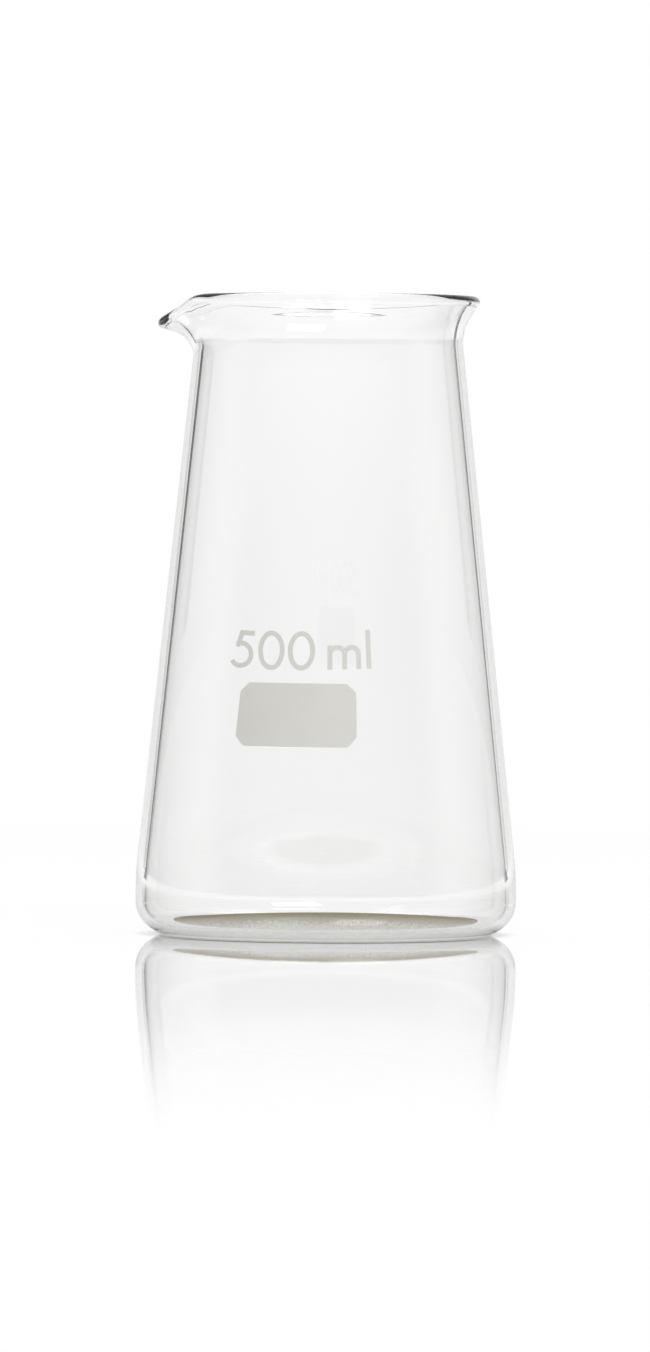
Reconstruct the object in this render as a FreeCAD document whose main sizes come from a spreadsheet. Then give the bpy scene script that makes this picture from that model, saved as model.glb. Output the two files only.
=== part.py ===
import FreeCAD, Part
import math
import os
import Sketcher

# Conical beaker: one piece of blown borosilicate glass with a beaded, turned-out rim and a
# pulled pouring spout. It stands on a ring-shaped foot whose middle is pushed up.
# The origin is the centre of the foot on the surface it stands on, +Z is up and the spout
# points along -X. Lengths are in millimetres and angles in degrees.

node = "beaker"

driving_sizes = [
    ("beakerHeight", 150.05, "surface it stands on to the top of the rim"),
    ("baseDiameter", 89.6, "widest outside diameter, just above the foot corner"),
    ("wallAngle", 6.05, "lean of the conical wall from the vertical"),
    ("wallThickness", 2.3, "glass of the wall, square to its face"),
    ("footCornerRadius", 8.0, "outside radius between foot and wall"),
    ("heelRadius", 114.0, "large outside arc that eases the foot corner into the cone"),
    ("insideCornerRadius", 5.6, "inside radius between floor and wall"),
    ("footWidth", 2.8, "flat ring that touches the surface it stands on"),
    ("kickUp", 1.8, "rise of the underside at its centre"),
    ("kickBlendRadius", 12.0, "eases the flat ring into the raised underside"),
    ("baseThickness", 2.9, "glass of the floor, at its centre"),
    ("neckDepth", 8.0, "rim top down to the corner where the lip turns outward"),
    ("neckRadius", 11.0, "outside arc that rounds that corner"),
    ("flareAngle", 31.5, "lean of the turned-out lip from the vertical"),
    ("rimSwell", 0.35, "diameter of the fire-polished bead, less the wall thickness"),
    ("spoutOverhang", 5.15, "spout tip out past the round rim"),
    ("spoutDrop", 5.2, "spout tip down from the round rim"),
    ("spoutDepth", 9.8, "rim top down to the corner under the spout"),
    ("spoutRootRadius", 6.2, "outside arc that rounds the corner under the spout"),
    ("spoutWidth", 64.0, "angle round the rim where the spout reaches out"),
    ("spoutDip", 94.0, "angle round the rim where the rim dips to the spout"),
]

section_steps = 24  # steps between the sections that the spout is lofted through
plain_margin = 12.0  # angle of plain lip on each side of the spout
spare_margin = 18.0  # angle of plain lip past that, lofted to keep the surface true and cut off
seam_tolerance = 0.001  # edges of the three stretches of glass this close are one edge

# Lengths worked out from the driving sizes, as expressions that the sketches are bound to
bead_radius = "(sizes.wallThickness + sizes.rimSwell) / 2"
slant_wall = "sizes.wallThickness / cos(sizes.wallAngle)"  # wall measured level
cone_start = "(sizes.footCornerRadius + sizes.heelRadius * sin(sizes.wallAngle))"
neck_height = "(sizes.beakerHeight - sizes.neckDepth)"
rim_height = f"(sizes.beakerHeight - {bead_radius})"
seam_height = (
    "(sizes.beakerHeight - sizes.spoutDepth - sizes.spoutRootRadius - sizes.wallThickness)"
)
spare_height = "(sizes.beakerHeight - sizes.spoutDepth - 2 * sizes.spoutRootRadius)"
sector_half = f"(max(sizes.spoutWidth; sizes.spoutDip) / 2 + {plain_margin})"


def cone_outside(height):
    """Outside radius of the conical wall at a height."""
    return (
        "(sizes.baseDiameter / 2 - sizes.heelRadius * (1 - cos(sizes.wallAngle))"
        f" - ({height} - {cone_start}) * tan(sizes.wallAngle))"
    )


def cone_middle(height):
    """Radius of the middle of the glass at a height."""
    return f"({cone_outside(height)} - {slant_wall} / 2)"


rim_radius = (
    f"({cone_middle(neck_height)} + ({rim_height} - {neck_height}) * tan(sizes.flareAngle))"
)


def make_sheet(doc):
    sheet = doc.addObject("Spreadsheet::Sheet", "sizes")
    for row, (alias, value, note) in enumerate(driving_sizes, start=1):
        sheet.set(f"A{row}", alias)
        sheet.set(f"B{row}", str(value))
        sheet.set(f"C{row}", note)
        sheet.setAlias(f"B{row}", alias)
    doc.recompute()
    return sheet


def number(sheet, expression):
    result = sheet.evalExpression(expression)
    return float(getattr(result, "Value", result))


def vector(x, y):
    return FreeCAD.Vector(x, y, 0)


def along(start, distance, degrees):
    turn = math.radians(degrees)
    return start + vector(math.cos(turn), math.sin(turn)) * distance


def line(start, end):
    return Part.LineSegment(start, end)


def arc(centre, radius, start_degrees, end_degrees):
    """Arc that runs anticlockwise from its start to its end."""
    circle = Part.Circle(centre, FreeCAD.Vector(0, 0, 1), radius)
    return Part.ArcOfCircle(circle, math.radians(start_degrees), math.radians(end_degrees))


def heading(start, end):
    return math.degrees(math.atan2(end.y - start.y, end.x - start.x))


def bind(sketch, kind, *places, to):
    """Adds a dimension to a sketch and ties it to an expression."""
    value = number(sketch.Document.getObject("sizes"), to)
    if kind == "Angle":
        value = math.radians(value)
    index = sketch.addConstraint(Sketcher.Constraint(kind, *places, value))
    sketch.setExpression(f"Constraints[{index}]", to)


def join(sketch, kind, *places):
    sketch.addConstraint(Sketcher.Constraint(kind, *places))


def new_sketch(body, name):
    sketch = body.newObject("Sketcher::SketchObject", name)
    plane = next(f for f in body.Origin.OriginFeatures if f.Role == "XZ_Plane")
    sketch.AttachmentSupport = (plane, "")
    sketch.MapMode = "FlatFace"
    return sketch


# Ends of a line or an arc, and the centre of an arc
start, end, middle = range(1, 4)
origin = -1


def draw_wall_and_floor(body, sheet):
    """Half section of everything below the lip: foot, raised floor and conical wall."""
    wall = number(sheet, "sizes.wallThickness")
    lean = number(sheet, "sizes.wallAngle")
    base = number(sheet, "sizes.baseDiameter / 2")
    corner = number(sheet, "sizes.footCornerRadius")
    heel = number(sheet, "sizes.heelRadius")
    inside = number(sheet, "sizes.insideCornerRadius")
    kick = number(sheet, "sizes.kickUp")
    blend = number(sheet, "sizes.kickBlendRadius")
    floor = number(sheet, "sizes.baseThickness")
    seam = number(sheet, seam_height)

    foot_outer = vector(base - corner, 0)
    foot_inner = foot_outer - vector(number(sheet, "sizes.footWidth"), 0)
    dome = (foot_inner.x**2 + kick**2) / (2 * kick) - blend
    dome_centre = vector(0, kick - dome)
    blend_centre = foot_inner + vector(0, blend)
    heel_centre = vector(base - heel, corner)
    dome_edge = heading(dome_centre, blend_centre)

    # The inside corner arc touches the inside of the heel and the top of the floor
    reach_heel = heel - wall - inside
    reach_dome = dome + floor + inside
    apart = (heel_centre - dome_centre).Length
    foot_of_reach = (reach_dome**2 - reach_heel**2 + apart**2) / (2 * apart)
    aside = math.sqrt(reach_dome**2 - foot_of_reach**2)
    axis = heading(dome_centre, heel_centre)
    corner_centre = along(along(dome_centre, foot_of_reach, axis), aside, axis - 90)
    corner_low = heading(corner_centre, dome_centre)
    corner_high = heading(heel_centre, corner_centre)

    top_outer = vector(number(sheet, cone_outside(seam_height)), seam)
    top_inner = top_outer - vector(number(sheet, slant_wall), 0)

    sketch = new_sketch(body, "WallAndFloorSection")
    underside, ease, foot, foot_corner, heel_arc, cone, seam_line = range(7)
    inner_cone, inner_heel, inner_corner, floor_top, axis_line = range(7, 12)
    sketch.addGeometry(
        [
            arc(dome_centre, dome, dome_edge, 90),
            arc(blend_centre, blend, dome_edge - 180, -90),
            line(foot_inner, foot_outer),
            arc(foot_outer + vector(0, corner), corner, -90, 0),
            arc(heel_centre, heel, 0, lean),
            line(along(heel_centre, heel, lean), top_outer),
            line(top_outer, top_inner),
            line(top_inner, along(heel_centre, heel - wall, lean)),
            arc(heel_centre, heel - wall, corner_high, lean),
            arc(corner_centre, inside, corner_low, corner_high),
            arc(dome_centre, dome + floor, corner_low + 180, 90),
            line(vector(0, kick + floor), vector(0, kick)),
        ],
        False,
    )
    join(sketch, "Tangent", underside, start, ease, start)
    join(sketch, "Tangent", ease, end, foot, start)
    join(sketch, "Tangent", foot, end, foot_corner, start)
    join(sketch, "Tangent", foot_corner, end, heel_arc, start)
    join(sketch, "Tangent", heel_arc, end, cone, start)
    join(sketch, "Coincident", cone, end, seam_line, start)
    join(sketch, "Coincident", seam_line, end, inner_cone, start)
    join(sketch, "Tangent", inner_cone, end, inner_heel, end)
    join(sketch, "Tangent", inner_heel, start, inner_corner, end)
    join(sketch, "Tangent", inner_corner, start, floor_top, start)
    join(sketch, "Coincident", floor_top, end, axis_line, start)
    join(sketch, "Coincident", axis_line, end, underside, end)
    join(sketch, "Horizontal", foot)
    join(sketch, "Horizontal", seam_line)
    join(sketch, "Vertical", axis_line)
    join(sketch, "PointOnObject", foot, start, -1)
    join(sketch, "PointOnObject", axis_line, start, -2)
    join(sketch, "PointOnObject", underside, middle, -2)
    join(sketch, "Coincident", floor_top, middle, underside, middle)
    join(sketch, "Coincident", inner_heel, middle, heel_arc, middle)
    join(sketch, "Horizontal", foot_corner, middle, heel_arc, middle)
    join(sketch, "Parallel", inner_cone, cone)
    bind(sketch, "DistanceX", foot, start, foot, end, to="sizes.footWidth")
    bind(sketch, "DistanceX", origin, start, foot_corner, end, to="sizes.baseDiameter / 2")
    bind(sketch, "Radius", foot_corner, to="sizes.footCornerRadius")
    bind(sketch, "Radius", heel_arc, to="sizes.heelRadius")
    bind(sketch, "Radius", ease, to="sizes.kickBlendRadius")
    bind(sketch, "Radius", inner_corner, to="sizes.insideCornerRadius")
    bind(sketch, "DistanceY", origin, start, axis_line, end, to="sizes.kickUp")
    bind(sketch, "DistanceY", axis_line, end, axis_line, start, to="sizes.baseThickness")
    bind(sketch, "DistanceY", origin, start, cone, end, to=seam_height)
    bind(sketch, "DistanceX", seam_line, end, seam_line, start, to=slant_wall)
    bind(sketch, "Angle", cone, to="90 + sizes.wallAngle")
    return sketch


def draw_lip(body, sheet, name, bottom=seam_height, turn="0", reach="0", dip="0"):
    """Section of the lip, from bottom, a height on the conical wall, up to the bead.

    turn is how far the section is swung round the axis. reach and dip are the shares of the
    spout's overhang and of its drop that this section takes, from 0 to 1.
    """
    corner_height = f"({neck_height} - (sizes.spoutDepth - sizes.neckDepth) * {dip})"
    bead_height = f"({rim_height} - sizes.spoutDrop * {dip})"
    bead_distance = f"({rim_radius} + sizes.spoutOverhang * {reach})"
    arc_radius = f"(sizes.neckRadius + (sizes.spoutRootRadius - sizes.neckRadius) * {dip})"

    wall = number(sheet, "sizes.wallThickness")
    lean = number(sheet, "sizes.wallAngle")
    radius = number(sheet, arc_radius)
    bead = number(sheet, bead_radius)
    bead_centre = vector(number(sheet, bead_distance), number(sheet, bead_height))
    corner = vector(number(sheet, cone_middle(corner_height)), number(sheet, corner_height))
    rise = heading(corner, bead_centre)
    tangent = (radius + wall / 2) * math.tan(math.radians(90 + lean - rise) / 2)
    arc_end = along(corner, tangent, rise)
    arc_centre = along(arc_end, radius + wall / 2, rise - 90)
    bead_back = math.sqrt(bead**2 - (wall / 2) ** 2)
    bead_low = along(along(bead_centre, -bead_back, rise), wall / 2, rise - 90)
    bead_high = along(along(bead_centre, -bead_back, rise), wall / 2, rise + 90)
    bottom_outer = vector(number(sheet, cone_outside(bottom)), number(sheet, bottom))
    bottom_inner = bottom_outer - vector(number(sheet, slant_wall), 0)

    sketch = new_sketch(body, name)
    offset = FreeCAD.Placement(vector(0, 0), FreeCAD.Rotation(vector(0, 1), number(sheet, turn)))
    sketch.AttachmentOffset = offset
    cone, neck, flare, bead_arc, inner_flare, inner_neck, inner_cone, level = range(8)
    centre_line, chord = range(8, 10)
    sketch.addGeometry(
        [
            line(bottom_outer, along(arc_centre, radius, 180 + lean)),
            arc(arc_centre, radius, rise + 90, 180 + lean),
            line(along(arc_centre, radius, rise + 90), bead_low),
            arc(
                bead_centre,
                bead,
                heading(bead_centre, bead_low),
                heading(bead_centre, bead_high),
            ),
            line(bead_high, along(arc_centre, radius + wall, rise + 90)),
            arc(arc_centre, radius + wall, rise + 90, 180 + lean),
            line(along(arc_centre, radius + wall, 180 + lean), bottom_inner),
            line(bottom_inner, bottom_outer),
        ],
        False,
    )
    sketch.addGeometry([line(corner, bead_centre), line(bead_low, bead_high)], True)
    join(sketch, "Tangent", cone, end, neck, end)
    join(sketch, "Tangent", neck, start, flare, start)
    join(sketch, "Coincident", flare, end, bead_arc, start)
    join(sketch, "Coincident", bead_arc, end, inner_flare, start)
    join(sketch, "Tangent", inner_flare, end, inner_neck, start)
    join(sketch, "Tangent", inner_neck, end, inner_cone, start)
    join(sketch, "Coincident", inner_cone, end, level, start)
    join(sketch, "Coincident", level, end, cone, start)
    join(sketch, "Coincident", inner_neck, middle, neck, middle)
    join(sketch, "Coincident", centre_line, end, bead_arc, middle)
    join(sketch, "Coincident", chord, start, bead_arc, start)
    join(sketch, "Coincident", chord, end, bead_arc, end)
    join(sketch, "Perpendicular", chord, centre_line)
    join(sketch, "Parallel", flare, centre_line)
    join(sketch, "Parallel", inner_flare, centre_line)
    join(sketch, "Parallel", inner_cone, cone)
    join(sketch, "Horizontal", level)
    bind(sketch, "DistanceX", origin, start, cone, start, to=cone_outside(bottom))
    bind(sketch, "DistanceY", origin, start, cone, start, to=bottom)
    bind(sketch, "Angle", cone, to="90 + sizes.wallAngle")
    bind(sketch, "DistanceX", level, start, level, end, to=slant_wall)
    bind(sketch, "Radius", neck, to=arc_radius)
    bind(sketch, "Radius", bead_arc, to=bead_radius)
    bind(sketch, "DistanceX", origin, start, centre_line, start, to=cone_middle(corner_height))
    bind(sketch, "DistanceY", origin, start, centre_line, start, to=corner_height)
    bind(sketch, "DistanceX", origin, start, centre_line, end, to=bead_distance)
    bind(sketch, "DistanceY", origin, start, centre_line, end, to=bead_height)
    return sketch


def revolve(body, kind, sketch, name, angle):
    """Turns a section about the axis, evenly to both sides of the sketch's own plane."""
    turned = body.newObject(f"PartDesign::{kind}", name)
    turned.Profile = sketch
    turned.ReferenceAxis = (sketch, ["V_Axis"])
    turned.Midplane = True
    turned.setExpression("Angle", angle)
    turned.Document.recompute()
    return turned


def draw_box(body, sheet, name, inner, outer, low, high):
    """Rectangle between two radii and two heights, given as expressions."""
    sketch = new_sketch(body, name)
    left, right = number(sheet, inner), number(sheet, outer)
    bottom, top = number(sheet, low), number(sheet, high)
    corners = [vector(left, bottom), vector(right, bottom), vector(right, top), vector(left, top)]
    sketch.addGeometry([line(corners[i], corners[(i + 1) % 4]) for i in range(4)], False)
    for side in range(4):
        join(sketch, "Coincident", side, end, (side + 1) % 4, start)
        join(sketch, "Vertical" if side % 2 else "Horizontal", side)
    bind(sketch, "DistanceX", origin, start, 0, start, to=inner)
    bind(sketch, "DistanceX", origin, start, 0, end, to=outer)
    bind(sketch, "DistanceY", origin, start, 0, start, to=low)
    bind(sketch, "DistanceY", origin, start, 1, end, to=high)
    return sketch


def share(angle, width):
    """Smooth hump over an angle round the rim: 1 at the spout's centre, 0 outside it."""
    return f"(abs({angle}) < {width} / 2 ? cos(180 * {angle} / {width}) ^ 3 : 0)"


def make_spout(body, sheet):
    """Lip sections fanned across the spout and lofted into one smooth channel.

    The loft is made wider and deeper than the spout and cut back to it with flat faces,
    because only its inner stretch follows the plain lip exactly.
    """
    sections = []
    for step in range(section_steps + 1):
        angle = f"(({sector_half} + {spare_margin}) * {2 * step / section_steps - 1})"
        sections.append(
            draw_lip(
                body,
                sheet,
                f"SpoutSection{step:02d}",
                bottom=spare_height,
                turn=f"180 + {angle}",
                reach=share(angle, "sizes.spoutWidth"),
                dip=share(angle, "sizes.spoutDip"),
            )
        )
    spout = body.newObject("PartDesign::AdditiveLoft", "Spout")
    spout.Profile = sections[0]
    spout.Sections = sections[1:]
    body.Document.recompute()
    inside = f"({rim_radius} / 2)"
    outside = f"(2 * {rim_radius})"
    above = "(2 * sizes.beakerHeight)"
    below = draw_box(body, sheet, "SpareBelow", inside, outside, "0", seam_height)
    revolve(body, "Groove", below, "TrimBelow", "360")
    beside = draw_box(body, sheet, "SpareBeside", inside, outside, "0", above)
    revolve(body, "Groove", beside, "TrimBeside", f"360 - 2 * {sector_half}")


def make_beaker(doc, sheet):
    """Wall, plain lip and spout, made one by one and melted into a single solid."""
    spout = doc.addObject("PartDesign::Body", "SpoutBody")
    make_spout(spout, sheet)
    lip = doc.addObject("PartDesign::Body", "LipBody")
    lip_section = draw_lip(lip, sheet, "LipSection")
    revolve(lip, "Revolution", lip_section, "Lip", f"360 - 2 * {sector_half}")
    beaker = doc.addObject("PartDesign::Body", "Beaker")
    beaker.Label = node
    revolve(beaker, "Revolution", draw_wall_and_floor(beaker, sheet), "WallAndFloor", "360")
    union = beaker.newObject("PartDesign::Boolean", "WallLipAndSpout")
    union.Type = "Fuse"
    union.FuzzyTolerance = seam_tolerance
    union.setObjects([lip, spout])
    doc.recompute()
    return beaker


def check(doc, parts):
    faults = [o.Label for o in doc.Objects if {"Invalid", "Error"} & set(o.State)]
    if faults:
        raise RuntimeError(f"failed to build: {', '.join(faults)}")
    for part in parts:
        if part.Shape.isNull() or not part.Shape.isValid():
            raise RuntimeError(f"{part.Label} has no valid shape")


def export(parts):
    os.makedirs("parts", exist_ok=True)
    for part in parts:
        part.Shape.exportStep(f"parts/{part.Label}.step")
        print(f"{part.Label}: {len(part.Shape.Solids)} solid, {part.Shape.Volume:.0f} mm3")


doc = FreeCAD.newDocument("ConicalBeaker")
sheet = make_sheet(doc)
parts = [make_beaker(doc, sheet)]
check(doc, parts)
export(parts)
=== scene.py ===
import math

import bmesh
import bpy
from mathutils import Matrix, Vector


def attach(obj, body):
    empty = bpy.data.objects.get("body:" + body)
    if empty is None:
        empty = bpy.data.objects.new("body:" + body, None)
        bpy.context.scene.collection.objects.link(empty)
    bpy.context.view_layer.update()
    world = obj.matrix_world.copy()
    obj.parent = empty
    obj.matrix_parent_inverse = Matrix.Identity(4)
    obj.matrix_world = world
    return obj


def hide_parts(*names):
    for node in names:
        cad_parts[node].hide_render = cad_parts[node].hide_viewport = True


# Conical beaker, about 500 ml: blown clear glass with a fired enamel print, on a glossy white table.
# The frame is in metres, +Z is up, the spout points along -X and the print faces -Y.

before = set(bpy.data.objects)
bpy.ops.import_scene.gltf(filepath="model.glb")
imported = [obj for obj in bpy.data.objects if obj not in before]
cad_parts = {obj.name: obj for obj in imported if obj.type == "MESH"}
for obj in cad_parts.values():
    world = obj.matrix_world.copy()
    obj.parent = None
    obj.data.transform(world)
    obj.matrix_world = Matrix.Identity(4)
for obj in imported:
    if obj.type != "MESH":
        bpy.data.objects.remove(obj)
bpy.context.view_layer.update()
mm = 0.001


def linear(hexColour):
    # sRGB hex to the linear values that the shaders work in
    channels = [int(hexColour[i:i + 2], 16) / 255 for i in (1, 3, 5)]
    return tuple(c / 12.92 if c <= 0.04045 else ((c + 0.055) / 1.055) ** 2.4 for c in channels) + (1.0,)


def addNode(tree, kind, settings=None, links=None):
    # settings are input sockets or node properties, links are input socket -> output socket
    node = tree.nodes.new(kind)
    for name, value in (settings or {}).items():
        if isinstance(name, int) or name in node.inputs:
            node.inputs[name].default_value = value
        else:
            setattr(node, name, value)
    for name, source in (links or {}).items():
        tree.links.new(source, node.inputs[name])
    return node


def newMaterial(name):
    material = bpy.data.materials.new(name)
    material.use_nodes = True
    material.node_tree.nodes.clear()
    return material, material.node_tree


def newObject(name, data):
    made = bpy.data.objects.new(name, data)
    bpy.context.scene.collection.objects.link(made)
    return made


# The beaker: sizes in millimetres and degrees, then its look. The sizes are the part's, but for the rim bead,
# a hair slimmer, and the floor and its dome, which follow how the foot bends light in the photograph.
beaker = {
    "height": 150.05,
    "baseRadius": 44.8,          # widest, just above the foot
    "lean": 6.05,                # of the wall
    "wall": 2.3,                 # thickness, even from the heel to the lip
    "footCorner": 8.0,           # radius under the heel
    "heel": 114.0,               # radius of the slow bend into the wall
    "insideCorner": 5.6,
    "footWidth": 2.8,            # flat ring that it stands on
    "kickUp": 2.4,               # rise of the underside
    "kickBlend": 12.0,
    "floor": 2.6,                # thickness in the middle
    "neckDepth": 8.0,            # how far below the rim the neck bends
    "neckRadius": 11.0,
    "flare": 31.5,
    "rimSwell": 0.30,            # the rim bead is this much thicker than the wall
    "spoutSide": 180.0,          # where the spout is, from +X
    "spoutOverhang": 5.15,
    "spoutDrop": 5.2,
    "spoutDepth": 9.8,
    "spoutRoot": 6.2,            # radius of the bend below it
    "spoutWidth": 64.0,          # degrees of the rim that swing out
    "spoutDip": 94.0,            # and that sink
    # fineness: sections round the beaker, and points along each run of a section
    "turns": 288,
    "points": {"dome": 9, "blend": 4, "foot": 3, "footCorner": 30, "heel": 6, "wall": 22, "neck": 12,
               "lip": 4, "bead": 48, "insideCorner": 24},
    "crease": 0.12,              # a short step beside the bead keeps its shading from spreading down the wall

    "ior": 1.473,                # borosilicate 3.3
    "depthTint": "#EEF2EC",      # what long paths through the glass lean to
    "depthDensity": 40.0,        # per metre
    "rippleWidth": 26 * mm,      # slow waviness left by blowing
    "rippleHeight": 0.001 * mm,
    "undersideIor": 1.0,         # no skin at all where it stands wet on the sheet
    "dustColour": "#93825E",     # dry residue on the inside of the floor
    "veilColour": "#CBC1A8",     # what shines through that film
    "veilShare": 0.4,
    "dustDepth": 0.32,           # how much of the floor it covers, seen straight down
    "dustAcross": (1.40, 0.65),  # how much of it lies at the left and at the right end
    "dustDeep": (0.30, 1.10),    # and at the near edge and past the middle
    "dustSpan": (-36 * mm, 36 * mm),   # from the left to the right end
    "dustReach": (-34 * mm, 4 * mm),   # from the near edge to past the middle
    "dustGrain": 0.45 * mm,
    "dustGrainDepth": (0.6, 1.4),      # thinnest and thickest, from grain to grain
    "dustStretch": 0.22,               # below 1 the grains run in streaks from front to back
    "driftWidth": 26 * mm,
    "driftDepth": (0.75, 1.25),        # and from drift to drift
    # which faces are the dusty floor and the underside: how level, how low and how near the middle
    "level": 0.95,
    "floorBelow": 6 * mm,
    "floorRadius": 36 * mm,
    "undersideBelow": 4 * mm,
}
clearSkin = {"Base Color": linear("#FFFFFF"), "Roughness": 0.0, "Transmission Weight": 1.0}


def closeGlass(tree, surface):
    # under each skin is the same clear glass, faintly green where light goes far along in it
    depth = addNode(tree, "ShaderNodeVolumeAbsorption", {
        "Color": linear(beaker["depthTint"]), "Density": beaker["depthDensity"]})
    addNode(tree, "ShaderNodeOutputMaterial", links={"Surface": surface, "Volume": depth.outputs["Volume"]})


def blownBorosilicate():
    # clear blown borosilicate: bright middle, dark thin lines where the wall turns away
    material, tree = newMaterial("clearBorosilicateGlass")
    where = addNode(tree, "ShaderNodeTexCoord")
    ripple = addNode(tree, "ShaderNodeTexNoise", {"Scale": 1 / beaker["rippleWidth"], "Detail": 0.0}, {
        "Vector": where.outputs["Object"]})
    bump = addNode(tree, "ShaderNodeBump", {"Strength": 1.0, "Distance": beaker["rippleHeight"]}, {
        "Height": ripple.outputs["Fac"]})
    skin = addNode(tree, "ShaderNodeBsdfPrincipled", {**clearSkin, "IOR": beaker["ior"]}, {
        "Normal": bump.outputs["Normal"]})
    closeGlass(tree, skin.outputs["BSDF"])
    return material


def wetUndersideGlass():
    # the underside as it stands on the sheet: no air film, so light passes down instead of running on inside
    material, tree = newMaterial("wetUndersideGlass")
    skin = addNode(tree, "ShaderNodeBsdfPrincipled", {**clearSkin, "IOR": beaker["undersideIor"]})
    closeGlass(tree, skin.outputs["BSDF"])
    return material


def dustyFloorGlass():
    # the same glass under a fine dry residue: hardly seen from above, a grey brown film at a low angle
    material, tree = newMaterial("dustyFloorGlass")
    where = addNode(tree, "ShaderNodeTexCoord")
    streaks = addNode(tree, "ShaderNodeMapping", {"Scale": (1.0, beaker["dustStretch"], 1.0)}, {
        "Vector": where.outputs["Object"]})
    grain = addNode(tree, "ShaderNodeTexNoise", {"Scale": 1 / beaker["dustGrain"], "Detail": 1.0}, {
        "Vector": streaks.outputs["Vector"]})
    drift = addNode(tree, "ShaderNodeTexNoise", {"Scale": 1 / beaker["driftWidth"], "Detail": 2.0}, {
        "Vector": where.outputs["Object"]})
    place = addNode(tree, "ShaderNodeSeparateXYZ", links={0: where.outputs["Object"]})

    # how thick it lies: from left to right, from the near edge back, by grain and by drift
    grainSpread, driftSpread = (0.3, 0.7), (0.35, 0.65)  # most values of each noise lie between these
    shares = []
    for source, (low, high), (thin, thick) in (
            (place.outputs["X"], beaker["dustSpan"], beaker["dustAcross"]),
            (place.outputs["Y"], beaker["dustReach"], beaker["dustDeep"]),
            (grain.outputs["Fac"], grainSpread, beaker["dustGrainDepth"]),
            (drift.outputs["Fac"], driftSpread, beaker["driftDepth"])):
        shares.append(addNode(tree, "ShaderNodeMapRange", {
            "From Min": low, "From Max": high, "To Min": thin, "To Max": thick}, {"Value": source}))
    lie = shares[0].outputs["Result"]
    for share in shares[1:]:
        lie = addNode(tree, "ShaderNodeMath", {"operation": "MULTIPLY"}, {
            0: lie, 1: share.outputs["Result"]}).outputs["Value"]

    # and how much of that a ray crosses at its slant, where 1.001 keeps it from a division by nothing
    layer = addNode(tree, "ShaderNodeMath", {"operation": "MULTIPLY", 1: -beaker["dustDepth"]}, {0: lie})
    facing = addNode(tree, "ShaderNodeLayerWeight", {"Blend": 0.5})
    slant = addNode(tree, "ShaderNodeMath", {"operation": "SUBTRACT", 0: 1.001}, {
        1: facing.outputs["Facing"]})
    path = addNode(tree, "ShaderNodeMath", {"operation": "DIVIDE"}, {
        0: layer.outputs["Value"], 1: slant.outputs["Value"]})
    through = addNode(tree, "ShaderNodeMath", {"operation": "EXPONENT"}, {0: path.outputs["Value"]})

    clear = addNode(tree, "ShaderNodeBsdfPrincipled", {**clearSkin, "IOR": beaker["ior"]})
    powder = addNode(tree, "ShaderNodeBsdfDiffuse", {"Color": linear(beaker["dustColour"])})
    veil = addNode(tree, "ShaderNodeBsdfTranslucent", {"Color": linear(beaker["veilColour"])})
    dust = addNode(tree, "ShaderNodeMixShader", {0: beaker["veilShare"]}, {
        1: powder.outputs["BSDF"], 2: veil.outputs["BSDF"]})
    skin = addNode(tree, "ShaderNodeMixShader", links={
        0: through.outputs["Value"], 1: dust.outputs["Shader"], 2: clear.outputs["BSDF"]})
    closeGlass(tree, skin.outputs["Shader"])
    return material


def along(start, distance, degrees):
    # the point that far from the start in that direction
    turn = math.radians(degrees)
    return (start[0] + distance * math.cos(turn), start[1] + distance * math.sin(turn))


def heading(start, end):
    return math.degrees(math.atan2(end[1] - start[1], end[0] - start[0]))


def arc(centre, radius, first, last, steps):
    # points from first to last degrees, both ends included
    return [along(centre, radius, first + (last - first) * k / steps) for k in range(steps + 1)]


def straight(start, end, steps):
    # points between the ends, both left out
    return [(start[0] + (end[0] - start[0]) * k / steps, start[1] + (end[1] - start[1]) * k / steps)
            for k in range(1, steps)]


def hump(angle, width):
    # 1 in the middle of the spout, and softly down to 0 at the ends of the width
    return math.cos(math.pi * angle / width) ** 3 if abs(angle) < width / 2 else 0.0


def coneOutside(height):
    # outside radius of the conical wall
    lean = math.radians(beaker["lean"])
    start = beaker["footCorner"] + beaker["heel"] * math.sin(lean)
    return beaker["baseRadius"] - beaker["heel"] * (1 - math.cos(lean)) - (height - start) * math.tan(lean)


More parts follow.
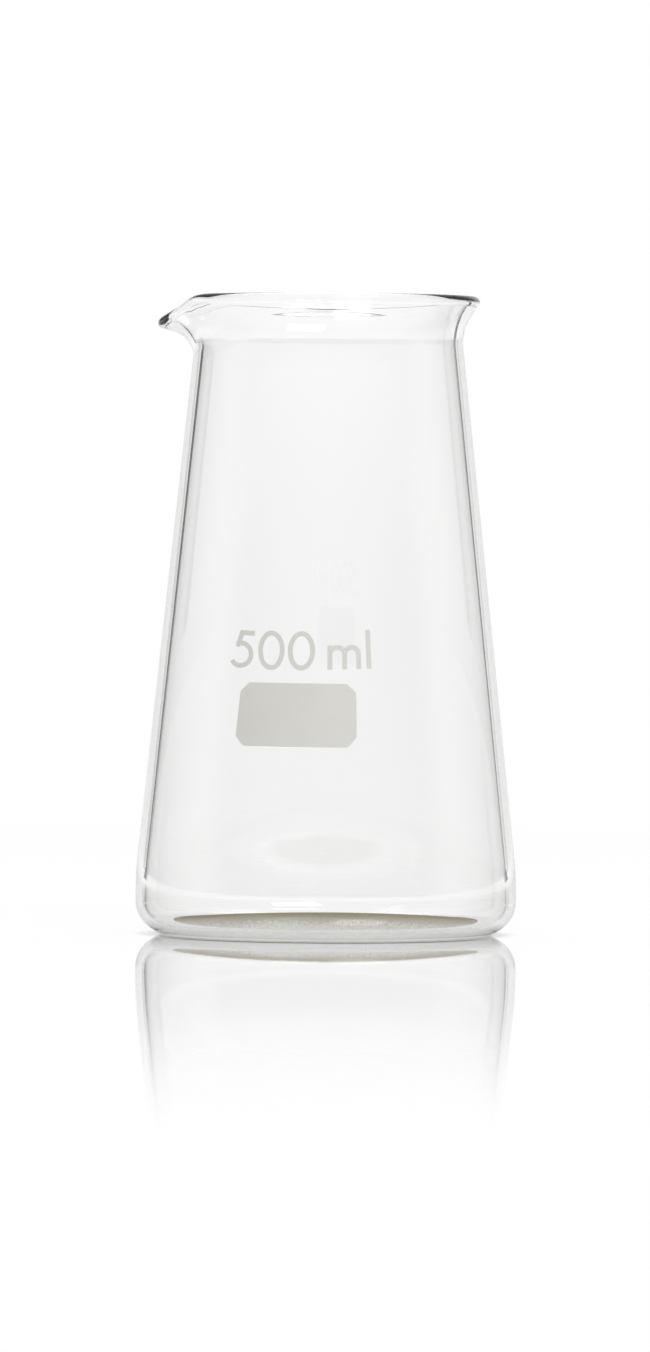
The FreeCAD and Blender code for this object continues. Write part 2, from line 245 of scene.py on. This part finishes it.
def sectionAt(angle):
    # closed half section, from the middle of the underside out, up, over the rim and down to the floor
    wide, lean, points = beaker["wall"], beaker["lean"], beaker["points"]
    heel, footCorner, insideCorner = beaker["heel"], beaker["footCorner"], beaker["insideCorner"]

    # foot: a dome blended into the flat ring
    kick, blend = beaker["kickUp"], beaker["kickBlend"]
    footOuter = (beaker["baseRadius"] - footCorner, 0.0)
    footInner = (footOuter[0] - beaker["footWidth"], 0.0)
    dome = (footInner[0] ** 2 + kick ** 2) / (2 * kick) - blend
    domeCentre, blendCentre = (0.0, kick - dome), (footInner[0], blend)
    domeEdge = heading(domeCentre, blendCentre)

    # inside corner: an arc that rolls between the heel's inner face and the top of the floor
    heelCentre = (beaker["baseRadius"] - heel, footCorner)
    reachHeel, reachDome = heel - wide - insideCorner, dome + beaker["floor"] + insideCorner
    apart = math.dist(heelCentre, domeCentre)
    across = (reachDome ** 2 - reachHeel ** 2 + apart ** 2) / (2 * apart)
    aside = math.sqrt(reachDome ** 2 - across ** 2)
    axis = heading(domeCentre, heelCentre)
    cornerCentre = along(along(domeCentre, across, axis), aside, axis - 90)
    cornerLow, cornerHigh = heading(cornerCentre, domeCentre), heading(heelCentre, cornerCentre)
    if cornerLow > cornerHigh:
        cornerLow -= 360

    # neck, lip and bead, which swing out and sink at the spout; the thickness is the wall's all the way
    reach, dip = hump(angle, beaker["spoutWidth"]), hump(angle, beaker["spoutDip"])
    halfAcross = wide / math.cos(math.radians(lean)) / 2
    neckHeight = beaker["height"] - beaker["neckDepth"]
    beadRadius = (wide + beaker["rimSwell"]) / 2
    rimHeight = beaker["height"] - beadRadius
    rimRadius = coneOutside(neckHeight) - halfAcross + (rimHeight - neckHeight) * math.tan(
        math.radians(beaker["flare"]))
    bendHeight = neckHeight - (beaker["spoutDepth"] - beaker["neckDepth"]) * dip
    bend = (coneOutside(bendHeight) - halfAcross, bendHeight)
    bead = (rimRadius + beaker["spoutOverhang"] * reach, rimHeight - beaker["spoutDrop"] * dip)
    radius = beaker["neckRadius"] + (beaker["spoutRoot"] - beaker["neckRadius"]) * dip
    rise = heading(bend, bead)
    tangent = (radius + wide / 2) * math.tan(math.radians(90 + lean - rise) / 2)
    neckCentre = along(along(bend, tangent, rise), radius + wide / 2, rise - 90)
    beadFoot = along(bead, -math.sqrt(beadRadius ** 2 - (wide / 2) ** 2), rise)
    beadLow, beadHigh = along(beadFoot, wide / 2, rise - 90), along(beadFoot, wide / 2, rise + 90)
    first = heading(bead, beadLow)
    last = first + (heading(bead, beadHigh) - first) % 360

    outer = arc(domeCentre, dome, 90, domeEdge, points["dome"])[1:]
    outer += arc(blendCentre, blend, domeEdge - 180, -90, points["blend"])[1:]
    outer += straight(footInner, footOuter, points["foot"])
    outer += arc((footOuter[0], footCorner), footCorner, -90, 0, points["footCorner"])
    outer += arc(heelCentre, heel, 0, lean, points["heel"])[1:]
    outer += straight(outer[-1], along(neckCentre, radius, 180 + lean), points["wall"])
    outer += arc(neckCentre, radius, 180 + lean, rise + 90, points["neck"])
    outer += straight(outer[-1], beadLow, points["lip"]) + [along(beadLow, -beaker["crease"], rise)]
    outer += arc(bead, beadRadius, first, last, points["bead"])
    inner = [along(beadHigh, -beaker["crease"], rise)]
    inner += straight(inner[-1], along(neckCentre, radius + wide, rise + 90), points["lip"])
    inner += arc(neckCentre, radius + wide, rise + 90, 180 + lean, points["neck"])
    inner += straight(inner[-1], along(heelCentre, heel - wide, lean), points["wall"])
    inner += arc(heelCentre, heel - wide, lean, cornerHigh, points["heel"])
    inner += arc(cornerCentre, insideCorner, cornerHigh, cornerLow, points["insideCorner"])[1:]
    inner += arc(domeCentre, dome + beaker["floor"], cornerLow + 180, 90, points["dome"])[1:-1]
    return outer + inner


def blowBeaker():
    # one closed skin, fine enough that the glass bends light without facets
    turns = beaker["turns"]
    points, faces = [], []
    for k in range(turns):
        angle = 360 * k / turns
        section = sectionAt(angle if angle <= 180 else angle - 360)
        turn = math.radians(beaker["spoutSide"] + angle)
        points += [(r * math.cos(turn) * mm, r * math.sin(turn) * mm, z * mm) for r, z in section]
    count = len(section)
    lowest, highest = len(points), len(points) + 1
    points += [(0, 0, beaker["kickUp"] * mm), (0, 0, (beaker["kickUp"] + beaker["floor"]) * mm)]
    for k in range(turns):
        here, there = k * count, (k + 1) % turns * count
        faces += [(here + i, there + i, there + i + 1, here + i + 1) for i in range(count - 1)]
        faces += [(lowest, there, here), (highest, here + count - 1, there + count - 1)]
    data = bpy.data.meshes.new("blownBeaker")
    data.from_pydata(points, [], faces)
    data.validate()
    data.shade_smooth()
    for material in (blownBorosilicate(), dustyFloorGlass(), wetUndersideGlass()):
        data.materials.append(material)
    for face in data.polygons:
        x, y, z = face.center
        up, fromAxis = face.normal.z, math.hypot(x, y)
        if up > beaker["level"] and z < beaker["floorBelow"] and fromAxis < beaker["floorRadius"]:
            face.material_index = 1
        elif up < -beaker["level"] and z < beaker["undersideBelow"]:
            face.material_index = 2
    skin = newObject("blownBeaker", data)
    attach(skin, "root")
    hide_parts("beaker")
    print("beaker: one skin of", len(faces), "faces")


# The print: millimetres round the wall from the -Y side, and above the table
printing = {
    "thickness": 0.03 * mm,      # stands this much off the glass
    "sunk": 0.02 * mm,           # and is bedded this deep in it
    "panel": [(-12.3, 59.8), (10.9, 59.6), (13.05, 57.6), (13.5, 47.3), (11.4, 44.9), (-13.7, 45.1),
              (-15.65, 47.4), (-14.6, 57.8)],
    "panelBox": (-17, 44, 15, 61),
    "panelStep": 0.5,            # size of the cells that fill it
    "stroke": 1.15,              # width of the lines of the figures
    "bars": [                    # from one end to the other
        (-14.5, 71.25, -11.2, 71.1), (-14.4, 71.75, -15.75, 68.0),                           # 5
        (6.88, 62.85, 6.75, 68.5), (10.28, 62.95, 10.2, 66.4), (13.6, 63.05, 13.45, 66.4),   # m
        (16.05, 63.15, 15.45, 72.1)],                                                        # l
    "rings": [                   # centre, half width and half height, and the degrees that it covers
        (-14.85, 66.25, 2.75, 2.6, -148, 114),                                               # 5
        (-7.03, 67.23, 2.66, 3.98), (0.17, 67.16, 2.62, 3.96),                               # 0 0
        (8.5, 66.35, 1.7, 1.65, 0, 180), (11.82, 66.4, 1.63, 1.65, 0, 180)],                 # m
    "figuresBox": (-19, 61, 18, 74),
    "figuresStep": 0.16,
    "thinColour": "#E2E1DB",     # where the coat is thin, and where it is thick
    "thickColour": "#EAE9E4",
    "cloudWidth": 9 * mm,
    "roughness": 0.6,
    "ior": 1.52,
    "grainWidth": 0.35 * mm,     # coarser than real grit, so that it shows
    "grainHeight": 0.02 * mm,
    "grainStrength": 0.25,
}


def firedEnamel():
    # white enamel fired onto the glass: a matt pale coat, slightly cloudy and finely grained
    material, tree = newMaterial("firedWhiteEnamel")
    where = addNode(tree, "ShaderNodeTexCoord")
    cloud = addNode(tree, "ShaderNodeTexNoise", {
        "Scale": 1 / printing["cloudWidth"], "Detail": 3.0, "Roughness": 0.6}, {
        "Vector": where.outputs["Object"]})
    tone = addNode(tree, "ShaderNodeMix", {
        "data_type": "RGBA", 6: linear(printing["thinColour"]), 7: linear(printing["thickColour"])}, {
        0: cloud.outputs["Fac"]})
    grain = addNode(tree, "ShaderNodeTexNoise", {"Scale": 1 / printing["grainWidth"], "Detail": 2.0}, {
        "Vector": where.outputs["Object"]})
    bump = addNode(tree, "ShaderNodeBump", {
        "Strength": printing["grainStrength"], "Distance": printing["grainHeight"]}, {
        "Height": grain.outputs["Fac"]})
    coat = addNode(tree, "ShaderNodeBsdfPrincipled", {
        "Roughness": printing["roughness"], "IOR": printing["ior"]}, {
        "Base Color": tone.outputs[2], "Normal": bump.outputs["Normal"]})
    addNode(tree, "ShaderNodeOutputMaterial", links={"Surface": coat.outputs["BSDF"]})
    return material


def onWall(across, height, lift):
    # a place on the conical wall, lifted off it
    radius, lean = coneOutside(height), math.radians(beaker["lean"])
    angle = across / radius
    reach = radius * mm + lift * math.cos(lean)
    return Vector((reach * math.sin(angle), -reach * math.cos(angle), height * mm + lift * math.sin(lean)))


def barField(ax, ay, bx, by):
    # distance to a bar with square ends, negative inside
    length = math.hypot(bx - ax, by - ay)
    ux, uy = (bx - ax) / length, (by - ay) / length

    def field(x, y):
        forward = (x - ax) * ux + (y - ay) * uy
        aside = abs((x - ax) * uy - (y - ay) * ux)
        return max(aside - printing["stroke"] / 2, -forward, forward - length)
    return field


def ringField(cx, cy, rx, ry, start=None, end=None):
    # oval ring, or the part of it from start to end degrees, anticlockwise
    def field(x, y):
        px, py = (x - cx) / rx, (y - cy) / ry
        away = math.hypot(px, py)
        if away < 1e-6:
            return min(rx, ry)
        slope = math.hypot(px / rx, py / ry) / away
        distance = abs(away - 1) / slope - printing["stroke"] / 2
        if start is not None:
            off = (math.degrees(math.atan2(py, px)) - (start + end) / 2 + 180) % 360 - 180
            distance = max(distance, math.radians(abs(off) - (end - start) / 2) * min(rx, ry))
        return distance
    return field


def panelField(corners):
    # inside of a convex outline, by its edges
    cx = sum(x for x, y in corners) / len(corners)
    cy = sum(y for x, y in corners) / len(corners)
    edges = []
    for (ax, ay), (bx, by) in zip(corners, corners[1:] + corners[:1]):
        length = math.hypot(bx - ax, by - ay)
        nx, ny = (by - ay) / length, (ax - bx) / length
        if (cx - ax) * nx + (cy - ay) * ny > 0:
            nx, ny = -nx, -ny
        edges.append((ax, ay, nx, ny))

    def field(x, y):
        return max((x - ax) * nx + (y - ay) * ny for ax, ay, nx, ny in edges)
    return field


def printShape(name, fields, box, step, material):
    # fills what the fields cover with small cells, cut off at the outline, and bends it onto the wall
    left, bottom, right, top = box
    columns, rows = math.ceil((right - left) / step), math.ceil((top - bottom) / step)
    value = [[min(f(left + i * step, bottom + j * step) for f in fields) for i in range(columns + 1)]
             for j in range(rows + 1)]
    mesh = bmesh.new()
    flat, front, back = {}, {}, {}

    def crossing(a, b):
        # where the outline cuts the edge between two grid points
        key = (min(a, b), max(a, b))
        if key not in flat:
            (ai, aj), (bi, bj) = key
            share = value[aj][ai] / (value[aj][ai] - value[bj][bi])
            share = min(0.98, max(0.02, share))  # never on the grid point itself
            flat[key] = (left + (ai + (bi - ai) * share) * step, bottom + (aj + (bj - aj) * share) * step)
        return key

    def vertices(key):
        if key not in front:
            front[key] = mesh.verts.new(onWall(*flat[key], printing["thickness"]))
            back[key] = mesh.verts.new(onWall(*flat[key], -printing["sunk"]))
        return front[key], back[key]

    for j in range(rows):
        for i in range(columns):
            square = [(i, j), (i + 1, j), (i + 1, j + 1), (i, j + 1)]
            inside = [value[b][a] < 0 for a, b in square]
            if not any(inside):
                continue
            outline, rims = [], []
            for k in range(4):
                (a, b), following = square[k], (k + 1) % 4
                if inside[k]:
                    flat[a, b] = (left + a * step, bottom + b * step)
                    outline.append((a, b))
                if inside[k] != inside[following]:
                    outline.append(crossing((a, b), square[following]))
                    if inside[k]:
                        rims.append(len(outline) - 1)
            pairs = [vertices(key) for key in outline]
            mesh.faces.new([p[0] for p in pairs])
            mesh.faces.new([p[1] for p in reversed(pairs)])
            for k in rims:
                here, there = pairs[k], pairs[(k + 1) % len(pairs)]
                mesh.faces.new([here[1], there[1], there[0], here[0]])
    bmesh.ops.recalc_face_normals(mesh, faces=mesh.faces)
    data = bpy.data.meshes.new(name)
    mesh.to_mesh(data)
    mesh.free()
    data.materials.append(material)
    mark = newObject(name, data)
    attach(mark, "root")


def makePrint():
    enamel = firedEnamel()
    panel = [panelField(printing["panel"])]
    printShape("writingPanel", panel, printing["panelBox"], printing["panelStep"], enamel)
    figures = [barField(*bar) for bar in printing["bars"]] + [ringField(*ring) for ring in printing["rings"]]
    printShape("capacityMark", figures, printing["figuresBox"], printing["figuresStep"], enamel)
    print("print: panel and capacity mark")


# The studio: degrees from the backdrop's middle and degrees up
studio = {
    "backdropTurn": 9.0,         # the backdrop stands opposite the camera
    "backdropTop": (30.0, 40.0),  # where it gives way to the ceiling
    "falloff": (2.5, 18.0, 0.88),  # it dims a little to its sides: from, to, and how far
    "ceiling": 0.80,             # share of white
    "edgeSoftness": 0.35,
    # to each side: where a narrow black flag starts and ends, its share of white, and the room's past it
    "left": (31.8, 36.9, 0.02, 0.45),
    "right": (32.6, 35.2, 0.12, 0.50),
    # the camera's side, and by degrees up its share of white: dark low down with a pale wall above
    "front": (105.0, 15.0),      # where it starts, and how softly
    "frontLevels": [(0.0, 0.02), (10.6, 0.02), (12.4, 0.42), (13.0, 0.55), (90.0, 1.0)],
}


def sideways(tree, direction):
    # the axes of a direction or place with the backdrop at +Y, its angle to the right, and that without sign
    turned = addNode(tree, "ShaderNodeVectorRotate", {
        "rotation_type": "Z_AXIS", "Angle": -math.radians(studio["backdropTurn"])}, {"Vector": direction})
    axes = addNode(tree, "ShaderNodeSeparateXYZ", links={0: turned.outputs["Vector"]})
    aside = addNode(tree, "ShaderNodeMath", {"operation": "ARCTAN2"}, {
        0: axes.outputs["X"], 1: axes.outputs["Y"]})
    spread = addNode(tree, "ShaderNodeMath", {"operation": "ABSOLUTE"}, {0: aside.outputs["Value"]})
    return axes, aside.outputs["Value"], spread.outputs["Value"]


def makeStudio():
    # white backdrop behind the beaker in a grey room, which draws the thin dark lines at its edges
    world = bpy.data.worlds.new("studio")
    bpy.context.scene.world = world
    world.use_nodes = True
    tree = world.node_tree
    tree.nodes.clear()
    where = addNode(tree, "ShaderNodeTexCoord")
    axes, aside, spread = sideways(tree, where.outputs["Generated"])
    rise = addNode(tree, "ShaderNodeMath", {"operation": "ABSOLUTE"}, {0: axes.outputs["Z"]})
    low, high = (math.sin(math.radians(degrees)) for degrees in studio["backdropTop"])
    tall = addNode(tree, "ShaderNodeMapRange", {
        "interpolation_type": "SMOOTHSTEP", "From Min": low, "From Max": high}, {
        "Value": rise.outputs["Value"]})
    front = addNode(tree, "ShaderNodeValToRGB", links={0: axes.outputs["Z"]})
    stops = front.color_ramp.elements
    levels = studio["frontLevels"]
    for degrees, _ in levels[1:-1]:
        stops.new(math.sin(math.radians(degrees)))
    for stop, (_, share) in zip(stops, levels):
        stop.color = (share, share, share, 1.0)

    def beyond(side, degrees, softness):
        # 0 to 1 where the direction passes so many degrees to the right (1) or to the left (-1)
        turn = addNode(tree, "ShaderNodeMath", {"operation": "MULTIPLY", 1: side}, {0: aside})
        return addNode(tree, "ShaderNodeMapRange", {
            "interpolation_type": "SMOOTHSTEP", "From Min": math.radians(degrees - softness),
            "From Max": math.radians(degrees + softness)}, {"Value": turn.outputs["Value"]}).outputs["Result"]

    full, faded, least = studio["falloff"]
    level = addNode(tree, "ShaderNodeMapRange", {
        "From Min": math.radians(full), "From Max": math.radians(faded), "To Min": 1.0, "To Max": least}, {
        "Value": spread}).outputs["Result"]
    for side, (start, end, dark, room) in ((-1, studio["left"]), (1, studio["right"])):
        for degrees, share in ((start, dark), (end, room)):
            level = addNode(tree, "ShaderNodeMix", {"data_type": "FLOAT", 3: share}, {
                0: beyond(side, degrees, studio["edgeSoftness"]), 2: level}).outputs[0]
    level = addNode(tree, "ShaderNodeMix", {"data_type": "FLOAT", 3: studio["ceiling"]}, {
        0: tall.outputs["Result"], 2: level}).outputs[0]
    for side in (-1, 1):
        level = addNode(tree, "ShaderNodeMix", {"data_type": "FLOAT"}, {
            0: beyond(side, *studio["front"]), 2: level, 3: front.outputs["Color"]}).outputs[0]
    sky = addNode(tree, "ShaderNodeBackground", {"Color": linear("#FFFFFF")}, {"Strength": level})
    addNode(tree, "ShaderNodeOutputWorld", links={"Surface": sky.outputs["Background"]})
    print("studio: white backdrop and grey room")


# The table: radii and distances in metres from the beaker's axis
table = {
    "size": 14.0,
    "drop": 0.05 * mm,           # it lies this much below the foot
    "colour": "#B5B5B5",
    "lift": 0.45,                # brings the sheet up to the white of the backdrop
    "ior": 1.46,                 # acrylic
    "roughness": 0.03,
    "glossLeast": 0.5,           # shine of the polish seen from straight above
    "glossFade": (0.23, 0.74),   # where the shine fades
    "whiteFade": (0.15, 0.9),    # where the sheet turns as white as the backdrop
    "bareFoot": (0.0375, 0.0455),      # no mirror inside this under the foot
    "bareGlass": (0.0455, 0.0485),     # and inside this seen through the glass
    "paintedFootGlow": 0.12,            # painted light: a glow on the sheet under the foot, standing in for light that falls through the clear foot
    "paintedFootGlowFade": (0.0365, 0.0515),      # where that painted glow fades
    # painted shade: dark patches on the sheet stand in for the dark flag strips, shown to light that the neck
    # bends down
    "flagsAt": 34.5,             # degrees to each side of the backdrop's middle
    "flagsSpan": 3.0,            # half their spread
    "flagsFrom": 0.2,            # nearest, for steep rays
    "flagsRemote": 0.85,         # and for flat ones
    "flagsSteep": (0.86, 0.82),  # where a ray starts to count as steep and where it fully does, by facing
    "paintedFlagShadeLevel": 0.06,          # share of white of that painted shade
}


def glossyTable():
    # white acrylic sheet: mirror-like at a low angle near the beaker, plain white further out
    material, tree = newMaterial("whiteAcrylicSheet")
    where = addNode(tree, "ShaderNodeTexCoord")
    away = addNode(tree, "ShaderNodeVectorMath", {"operation": "LENGTH"}, {0: where.outputs["Object"]})
    ray = addNode(tree, "ShaderNodeLightPath")
    inGlass = ray.outputs["Is Transmission Ray"]

    # what changes with the distance from the beaker
    fade = {}
    for name, first, last, easing in (
            ("glossFade", 1.0, 0.0, "SMOOTHSTEP"), ("whiteFade", 0.0, 1.0, "SMOOTHSTEP"),
            ("paintedFootGlowFade", table["paintedFootGlow"], 0.0, "SMOOTHSTEP"),
            ("bareFoot", 0.0, 1.0, "LINEAR"), ("bareGlass", 0.0, 1.0, "LINEAR")):
        near, far = table[name]
        fade[name] = addNode(tree, "ShaderNodeMapRange", {
            "interpolation_type": easing, "From Min": near, "From Max": far, "To Min": first,
            "To Max": last}, {"Value": away.outputs["Value"]}).outputs["Result"]

    # the polish
    fresnel = addNode(tree, "ShaderNodeFresnel", {"IOR": table["ior"]})
    polish = addNode(tree, "ShaderNodeMapRange", {"To Min": table["glossLeast"]}, {
        "Value": fresnel.outputs["Fac"]})
    sheen = addNode(tree, "ShaderNodeMath", {"operation": "MULTIPLY"}, {
        0: polish.outputs["Result"], 1: fade["glossFade"]})
    bare = addNode(tree, "ShaderNodeMix", {"data_type": "FLOAT"}, {
        0: inGlass, 2: fade["bareFoot"], 3: fade["bareGlass"]})
    shine = addNode(tree, "ShaderNodeMath", {"operation": "MULTIPLY"}, {
        0: sheen.outputs["Value"], 1: bare.outputs[0]})

    # the white below it, with the painted glow under the foot for rays that came through the glass
    direct = addNode(tree, "ShaderNodeMath", {"operation": "ADD", "use_clamp": True}, {
        0: ray.outputs["Is Camera Ray"], 1: inGlass})
    seen = addNode(tree, "ShaderNodeMath", {"operation": "ADD", "use_clamp": True}, {
        0: direct.outputs["Value"], 1: ray.outputs["Is Glossy Ray"]})
    lift = addNode(tree, "ShaderNodeMath", {"operation": "MULTIPLY", 1: table["lift"]}, {
        0: direct.outputs["Value"]})
    # painted light: the foot's glow is emitted only for rays that came through the glass
    glow = addNode(tree, "ShaderNodeMath", {"operation": "MULTIPLY_ADD"}, {
        0: inGlass, 1: fade["paintedFootGlowFade"], 2: lift.outputs["Value"]})
    farSeen = addNode(tree, "ShaderNodeMath", {"operation": "MULTIPLY"}, {
        0: fade["whiteFade"], 1: seen.outputs["Value"]})
    matt = addNode(tree, "ShaderNodeBsdfDiffuse", {"Color": linear(table["colour"])})
    lifted = addNode(tree, "ShaderNodeEmission", {"Color": linear("#FFFFFF")}, {
        "Strength": glow.outputs["Value"]})
    near = addNode(tree, "ShaderNodeAddShader", links={
        0: matt.outputs["BSDF"], 1: lifted.outputs["Emission"]})
    white = addNode(tree, "ShaderNodeEmission", {"Color": linear("#FFFFFF"), "Strength": 1.0})
    body = addNode(tree, "ShaderNodeMixShader", links={
        0: farSeen.outputs["Value"], 1: near.outputs["Shader"], 2: white.outputs["Emission"]})
    mirror = addNode(tree, "ShaderNodeBsdfAnisotropic", {
        "Color": linear("#FFFFFF"), "Roughness": table["roughness"]})
    lit = addNode(tree, "ShaderNodeMixShader", links={
        0: shine.outputs["Value"], 1: body.outputs["Shader"], 2: mirror.outputs["BSDF"]})

    # painted shade: dark flag strips drawn on the sheet, only for rays that the glass has bent
    spread = sideways(tree, where.outputs["Object"])[2]
    off = addNode(tree, "ShaderNodeMath", {
        "operation": "COMPARE", 1: math.radians(table["flagsAt"]), 2: math.radians(table["flagsSpan"])}, {
        0: spread})
    past = addNode(tree, "ShaderNodeMath", {"operation": "GREATER_THAN", 1: table["flagsFrom"]}, {
        0: away.outputs["Value"]})
    flagged = addNode(tree, "ShaderNodeMath", {"operation": "MULTIPLY"}, {
        0: off.outputs["Value"], 1: past.outputs["Value"]})
    facing = addNode(tree, "ShaderNodeLayerWeight", {"Blend": 0.5})
    flat, steeper = table["flagsSteep"]
    steep = addNode(tree, "ShaderNodeMapRange", {"From Min": flat, "From Max": steeper}, {
        "Value": facing.outputs["Facing"]})
    remote = addNode(tree, "ShaderNodeMath", {"operation": "GREATER_THAN", 1: table["flagsRemote"]}, {
        0: away.outputs["Value"]})
    fromNeck = addNode(tree, "ShaderNodeMath", {"operation": "MAXIMUM"}, {
        0: steep.outputs["Result"], 1: remote.outputs["Value"]})
    bent = addNode(tree, "ShaderNodeMath", {"operation": "MULTIPLY"}, {
        0: fromNeck.outputs["Value"], 1: inGlass})
    paintedFlagShade = addNode(tree, "ShaderNodeMath", {"operation": "MULTIPLY"}, {
        0: flagged.outputs["Value"], 1: bent.outputs["Value"]})
    # painted shade: a faint emission at this level replaces the sheet there
    shade = addNode(tree, "ShaderNodeEmission", {"Color": linear("#FFFFFF"), "Strength": table["paintedFlagShadeLevel"]})
    whole = addNode(tree, "ShaderNodeMixShader", links={
        0: paintedFlagShade.outputs["Value"], 1: lit.outputs["Shader"], 2: shade.outputs["Emission"]})
    addNode(tree, "ShaderNodeOutputMaterial", links={"Surface": whole.outputs["Shader"]})
    return material


def makeTable():
    half = table["size"] / 2
    corners = [(-half, -half, 0), (half, -half, 0), (half, half, 0), (-half, half, 0)]
    data = bpy.data.meshes.new("table")
    data.from_pydata(corners, [], [(0, 1, 2, 3)])
    data.materials.append(glossyTable())
    sheet = newObject("table", data)
    sheet.location.z = -table["drop"]
    print("table: sheet of", table["size"], "m")


# The lamps: degrees round from -Y and up, metres and watts. They all face the middle of the beaker.
lamps = {
    "aimHeight": 70 * mm,
    "softboxes": {
        "topSoftbox": {"azimuth": 189.0, "rise": 66.0, "distance": 1.3, "size": (1.1, 0.8), "power": 5.5},
        "keySoftbox": {"azimuth": 35.0, "rise": 49.0, "distance": 1.3, "size": (0.62, 0.40), "power": 4.7},
        "fillSoftbox": {"azimuth": 9.0, "rise": 32.0, "distance": 1.5, "size": (1.0, 0.6), "power": 1.3},
    },
    "unseen": ["fillSoftbox"],   # lights the print, and draws no highlight in the glass
}


def hangLamps():
    for name, box in lamps["softboxes"].items():
        turn, rise = math.radians(box["azimuth"]), math.radians(box["rise"])
        towards = Vector((math.sin(turn) * math.cos(rise), -math.cos(turn) * math.cos(rise), math.sin(rise)))
        data = bpy.data.lights.new(name, "AREA")
        data.shape = "RECTANGLE"
        data.size, data.size_y = box["size"]
        data.energy = box["power"]
        lamp = newObject(name, data)
        lamp.location = towards * box["distance"] + Vector((0, 0, lamps["aimHeight"]))
        lamp.rotation_euler = towards.to_track_quat("Z", "Y").to_euler()
        if name in lamps["unseen"]:
            lamp.visible_glossy = lamp.visible_transmission = lamp.visible_camera = False
    print("lamps:", len(lamps["softboxes"]), "softboxes")


# The camera: the photograph's view, a little from the right and almost level
view = {
    "azimuth": 9.0,
    "distance": 2.2,
    "height": 0.100,
    "aimHeight": 60.7 * mm,
    "aimSide": -0.47 * mm,
    "roll": 0.33,                # degrees, the photograph leans a little
    "frameHeight": 318.0 * mm,   # what the frame spans at the beaker's axis
    "sensor": 24.0,
    "clip": (0.05, 100.0),
}


def makeCamera():
    turn = math.radians(view["azimuth"])
    towards = Vector((math.sin(turn), -math.cos(turn), 0))
    right = Vector((math.cos(turn), math.sin(turn), 0))
    place = towards * view["distance"] + Vector((0, 0, view["height"])) + right * view["aimSide"]
    target = Vector((0, 0, view["aimHeight"])) + right * view["aimSide"]
    back = place - target
    spin = back.to_track_quat("Z", "Y").to_matrix().to_4x4()
    roll = Matrix.Rotation(math.radians(view["roll"]), 4, "Z")
    data = bpy.data.cameras.new("camera")
    data.sensor_fit = "VERTICAL"
    data.sensor_height = view["sensor"]
    data.lens = view["sensor"] * back.length / view["frameHeight"]
    data.clip_start, data.clip_end = view["clip"]
    camera = newObject("camera", data)
    camera.matrix_world = Matrix.Translation(place) @ spin @ roll
    bpy.context.scene.camera = camera
    print("camera: lens", round(data.lens, 1), "mm")


blowBeaker()
makePrint()
makeTable()
makeStudio()
hangLamps()
makeCamera()
bpy.context.scene.view_settings.view_transform = "Standard"
